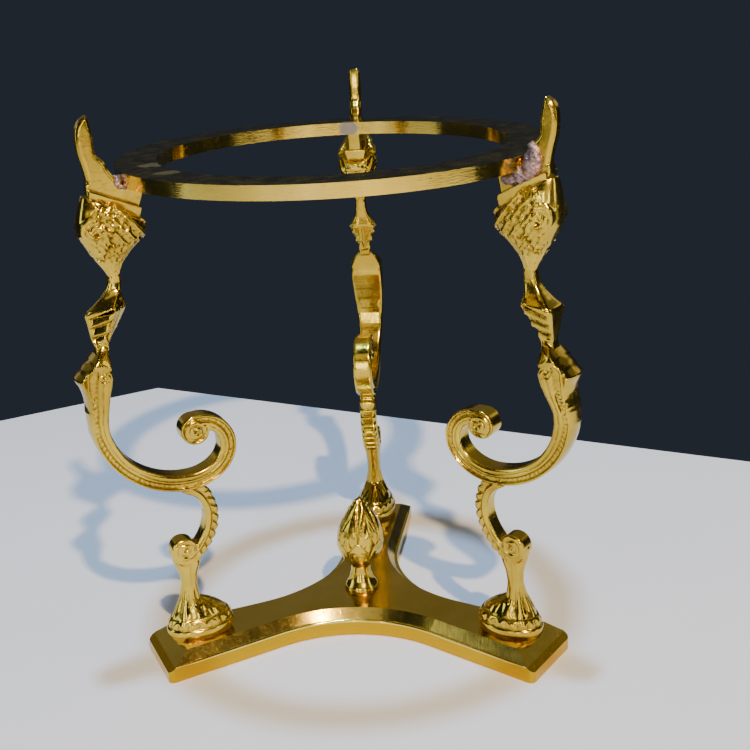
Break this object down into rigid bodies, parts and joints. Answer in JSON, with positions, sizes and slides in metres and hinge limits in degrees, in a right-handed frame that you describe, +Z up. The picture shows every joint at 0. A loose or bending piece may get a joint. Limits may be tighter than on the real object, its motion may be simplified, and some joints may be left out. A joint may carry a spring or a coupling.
{
  "type": "tripod ring stand",
  "caption": "Ornamental cast brass tripod stand with scroll legs that carry a flat ring for a round-bottomed vessel or ball, on a three-armed base with a bud finial.",
  "frame": {"origin": "on the tripod's axis, on the flat face that the base rests on", "axes": "+Z up along the ring's axis, +Y towards the rear leg, +X to the right of a viewer who faces the stand with the rear leg furthest away"},
  "size_m": [0.1328, 0.1317, 0.1551],
  "materials": {
    "base_brass": "polished",
    "leg_brass": "polished casting",
    "ring_brass": "polished",
    "finial_brass": "polished casting",
    "braze_metal": "rough",
    "screw_steel": "zinc plated"
  },
  "bodies": {
    "root": {"base_plate": "base_brass", "ring": "ring_brass", "finial": "finial_brass", "leg_rear": "leg_brass", "braze_rear": "braze_metal", "leg_screw_rear": "screw_steel", "washer_rear": "screw_steel", "leg_left": "leg_brass", "braze_left": "braze_metal", "leg_screw_left": "screw_steel", "washer_left": "screw_steel", "leg_right": "leg_brass", "braze_right": "braze_metal", "leg_screw_right": "screw_steel", "washer_right": "screw_steel"}
  },
  "joints": []
}
